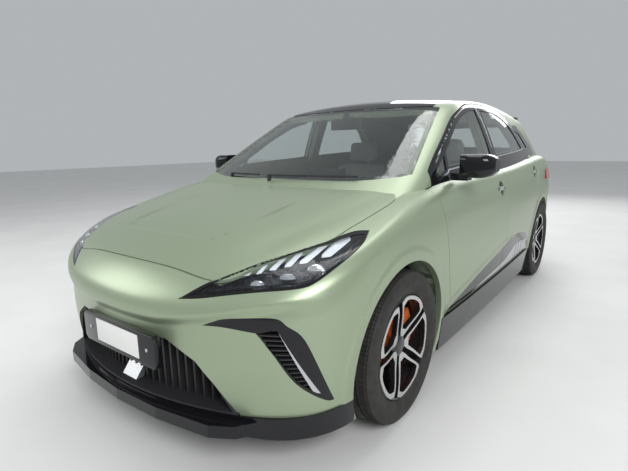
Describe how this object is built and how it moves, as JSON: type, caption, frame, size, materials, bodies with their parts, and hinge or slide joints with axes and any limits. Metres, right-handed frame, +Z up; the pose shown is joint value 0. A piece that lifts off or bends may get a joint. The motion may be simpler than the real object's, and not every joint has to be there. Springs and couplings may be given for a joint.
{
  "type": "hatchback car",
  "caption": "Five-door electric hatchback with opening doors, hood and tailgate, steered front wheels on hubs and a seated cabin.",
  "frame": {"origin": "on the ground under the middle of the car", "axes": "+X car's left, -Y front, +Z up"},
  "size_m": [2.06, 4.2855, 1.5165],
  "materials": {
    "black_plastic": "matt, grained",
    "chassis": "matt black coat",
    "glass": "clear, lightly tinted",
    "gloss_black": "gloss",
    "hub": "cast, with an orange caliper",
    "lamp": "clear lens over a dark housing",
    "paint": "satin metallic",
    "red_lamp": "gloss",
    "rim": "machined faces over black",
    "seat": "pale, padded",
    "tyre": "matt"
  },
  "bodies": {
    "body": {"battery_pack": "chassis", "body_sides": "paint", "bumper_beam": "chassis", "cabin_mirror": "black_plastic", "corner_vents": "gloss_black", "cowl": "black_plastic", "dashboard": "black_plastic", "drive_unit": "chassis", "floor_pan": "chassis", "front_bumper": "paint", "front_fenders": "paint", "front_seat_left": "seat", "front_seat_right": "seat", "front_splitter": "gloss_black", "front_subframe": "chassis", "headlamps": "lamp", "lower_grille": "black_plastic", "plate_carrier": "black_plastic", "power_unit": "chassis", "quarter_glass": "glass", "rear_bench": "seat", "rear_bumper": "paint", "rear_subframe": "chassis", "roof_panel": "gloss_black", "sill_trims": "gloss_black", "tail_lamps": "red_lamp", "wheel_liners": "black_plastic", "windshield": "glass", "wipers": "black_plastic"},
    "hood": {"hood": "paint"},
    "tailgate": {"tailgate": "paint", "tailgate_glass": "glass", "tailgate_lamp": "red_lamp", "spoiler": "gloss_black"},
    "steering_wheel": {"steering_wheel": "black_plastic"},
    "door_front_left": {"door_front_left": "paint", "glass_front_left": "glass", "mirror_left": "gloss_black"},
    "door_rear_left": {"door_rear_left": "paint", "glass_rear_left": "glass"},
    "knuckle_front_left": {"knuckle_front_left": "hub"},
    "wheel_front_left": {"tyre_front_left": "tyre", "rim_front_left": "rim"},
    "wheel_rear_left": {"tyre_rear_left": "tyre", "rim_rear_left": "rim"},
    "door_front_right": {"door_front_right": "paint", "glass_front_right": "glass", "mirror_right": "gloss_black"},
    "door_rear_right": {"door_rear_right": "paint", "glass_rear_right": "glass"},
    "knuckle_front_right": {"knuckle_front_right": "hub"},
    "wheel_front_right": {"tyre_front_right": "tyre", "rim_front_right": "rim"},
    "wheel_rear_right": {"tyre_rear_right": "tyre", "rim_rear_right": "rim"}
  },
  "joints": [
    {"name": "steer_left", "type": "hinge", "parent": "body", "child": "knuckle_front_left", "pos_m": [0.725, -1.3085, 0.334], "axis": [0, 0, 1], "range_deg": [-35, 35]},
    {"name": "spin_front_left", "type": "hinge", "parent": "knuckle_front_left", "child": "wheel_front_left", "pos_m": [0.775, -1.3085, 0.334], "axis": [1, 0, 0], "continuous": true},
    {"name": "spin_rear_left", "type": "hinge", "parent": "body", "child": "wheel_rear_left", "pos_m": [0.775, 1.3965, 0.334], "axis": [1, 0, 0], "continuous": true},
    {"name": "open_door_front_left", "type": "hinge", "parent": "body", "child": "door_front_left", "pos_m": [0.878, -0.835, 0.62], "axis": [0, 0, -1], "range_deg": [0, 65]},
    {"name": "open_door_rear_left", "type": "hinge", "parent": "body", "child": "door_rear_left", "pos_m": [0.878, 0.2, 0.62], "axis": [0, 0, -1], "range_deg": [0, 65]},
    {"name": "steer_right", "type": "hinge", "parent": "body", "child": "knuckle_front_right", "pos_m": [-0.725, -1.3085, 0.334], "axis": [0, 0, 1], "range_deg": [-35, 35]},
    {"name": "spin_front_right", "type": "hinge", "parent": "knuckle_front_right", "child": "wheel_front_right", "pos_m": [-0.775, -1.3085, 0.334], "axis": [1, 0, 0], "continuous": true},
    {"name": "spin_rear_right", "type": "hinge", "parent": "body", "child": "wheel_rear_right", "pos_m": [-0.775, 1.3965, 0.334], "axis": [1, 0, 0], "continuous": true},
    {"name": "open_door_front_right", "type": "hinge", "parent": "body", "child": "door_front_right", "pos_m": [-0.878, -0.835, 0.62], "axis": [0, 0, 1], "range_deg": [0, 65]},
    {"name": "open_door_rear_right", "type": "hinge", "parent": "body", "child": "door_rear_right", "pos_m": [-0.878, 0.2, 0.62], "axis": [0, 0, 1], "range_deg": [0, 65]},
    {"name": "turn_steering_wheel", "type": "hinge", "parent": "body", "child": "steering_wheel", "pos_m": [0.37, -0.43, 0.83], "axis": [0, 0.9063, 0.4226], "range_deg": [-490, 490]},
    {"name": "open_hood", "type": "hinge", "parent": "body", "child": "hood", "pos_m": [0, -0.975, 0.905], "axis": [-1, 0, 0], "range_deg": [0, 50]},
    {"name": "open_tailgate", "type": "hinge", "parent": "body", "child": "tailgate", "pos_m": [0, 1.64, 1.39], "axis": [1, 0, 0], "range_deg": [0, 78]}
  ],
  "couplings": [
    {"joint": "steer_right", "follows": "steer_left", "ratio": 1},
    {"joint": "turn_steering_wheel", "follows": "steer_left", "ratio": 14}
  ]
}
